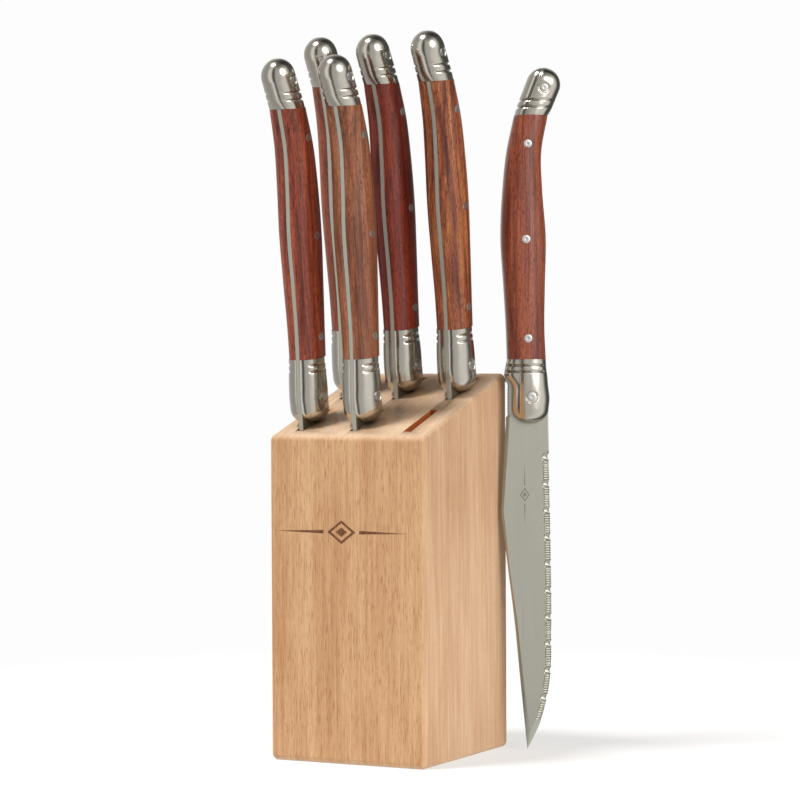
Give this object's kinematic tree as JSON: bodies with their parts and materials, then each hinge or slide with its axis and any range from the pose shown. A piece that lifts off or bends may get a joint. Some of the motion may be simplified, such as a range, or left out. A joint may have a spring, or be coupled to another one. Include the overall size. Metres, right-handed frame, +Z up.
{
  "type": "knife block with steak knives",
  "caption": "Sloping-topped wooden block with slots that hold slim steak knives; wooden handles, steel bolsters and pommels, serrated blades.",
  "frame": {"origin": "on the floor, under the middle of the wooden block", "axes": "+Z up; -Y is the block's low front side, +Y its high back side; +X is the side that the loose knife leans on"},
  "size_m": [0.0753, 0.0882, 0.2398],
  "materials": {
    "beech": "sanded beech with a thin satin oil",
    "blade_steel": "satin ground stainless steel",
    "bolster_steel": "polished stainless steel",
    "rivet_steel": "fine ground",
    "rosewood_1": "dark red-brown rosewood, oiled satin",
    "rosewood_2": "brown rosewood, oiled satin",
    "rosewood_3": "light tan-brown rosewood, oiled satin",
    "rosewood_4": "deep red rosewood, oiled satin",
    "rosewood_5": "mixed brown rosewood, oiled satin",
    "rosewood_6": "mid red-brown rosewood, oiled satin"
  },
  "bodies": {
    "block": {"block_board_1": "beech", "block_board_2": "beech", "block_board_3": "beech", "block_board_4": "beech"},
    "knife_1": {"knife_1_blade": "blade_steel", "knife_1_scale_left": "rosewood_1", "knife_1_scale_right": "rosewood_1", "knife_1_bolster_left": "bolster_steel", "knife_1_bolster_right": "bolster_steel", "knife_1_pommel": "bolster_steel", "knife_1_rivet_front": "rivet_steel", "knife_1_rivet_middle": "rivet_steel", "knife_1_rivet_rear": "rivet_steel"},
    "knife_2": {"knife_2_blade": "blade_steel", "knife_2_scale_left": "rosewood_2", "knife_2_scale_right": "rosewood_2", "knife_2_bolster_left": "bolster_steel", "knife_2_bolster_right": "bolster_steel", "knife_2_pommel": "bolster_steel", "knife_2_rivet_front": "rivet_steel", "knife_2_rivet_middle": "rivet_steel", "knife_2_rivet_rear": "rivet_steel"},
    "knife_3": {"knife_3_blade": "blade_steel", "knife_3_scale_left": "rosewood_3", "knife_3_scale_right": "rosewood_3", "knife_3_bolster_left": "bolster_steel", "knife_3_bolster_right": "bolster_steel", "knife_3_pommel": "bolster_steel", "knife_3_rivet_front": "rivet_steel", "knife_3_rivet_middle": "rivet_steel", "knife_3_rivet_rear": "rivet_steel"},
    "knife_4": {"knife_4_blade": "blade_steel", "knife_4_scale_left": "rosewood_4", "knife_4_scale_right": "rosewood_4", "knife_4_bolster_left": "bolster_steel", "knife_4_bolster_right": "bolster_steel", "knife_4_pommel": "bolster_steel", "knife_4_rivet_front": "rivet_steel", "knife_4_rivet_middle": "rivet_steel", "knife_4_rivet_rear": "rivet_steel"},
    "knife_5": {"knife_5_blade": "blade_steel", "knife_5_scale_left": "rosewood_5", "knife_5_scale_right": "rosewood_5", "knife_5_bolster_left": "bolster_steel", "knife_5_bolster_right": "bolster_steel", "knife_5_pommel": "bolster_steel", "knife_5_rivet_front": "rivet_steel", "knife_5_rivet_middle": "rivet_steel", "knife_5_rivet_rear": "rivet_steel"},
    "knife_6": {"knife_6_blade": "blade_steel", "knife_6_scale_left": "rosewood_6", "knife_6_scale_right": "rosewood_6", "knife_6_bolster_left": "bolster_steel", "knife_6_bolster_right": "bolster_steel", "knife_6_pommel": "bolster_steel", "knife_6_rivet_front": "rivet_steel", "knife_6_rivet_middle": "rivet_steel", "knife_6_rivet_rear": "rivet_steel"}
  },
  "joints": [
    {"name": "knife_1_draw", "type": "slide", "parent": "block", "child": "knife_1", "axis": [0, -0.1132, 0.9936], "range_m": [0, 0.13]},
    {"name": "knife_2_draw", "type": "slide", "parent": "block", "child": "knife_2", "axis": [0, -0.1132, 0.9936], "range_m": [0, 0.13]},
    {"name": "knife_3_draw", "type": "slide", "parent": "block", "child": "knife_3", "axis": [0, -0.1132, 0.9936], "range_m": [0, 0.13]},
    {"name": "knife_4_draw", "type": "slide", "parent": "block", "child": "knife_4", "axis": [0, -0.1132, 0.9936], "range_m": [0, 0.13]},
    {"name": "knife_5_draw", "type": "slide", "parent": "block", "child": "knife_5", "axis": [0, -0.1132, 0.9936], "range_m": [0, 0.13]},
    {"name": "knife_6_draw", "type": "slide", "parent": "block", "child": "knife_6", "axis": [0, 0, 1], "range_m": [0, 0.13]}
  ]
}
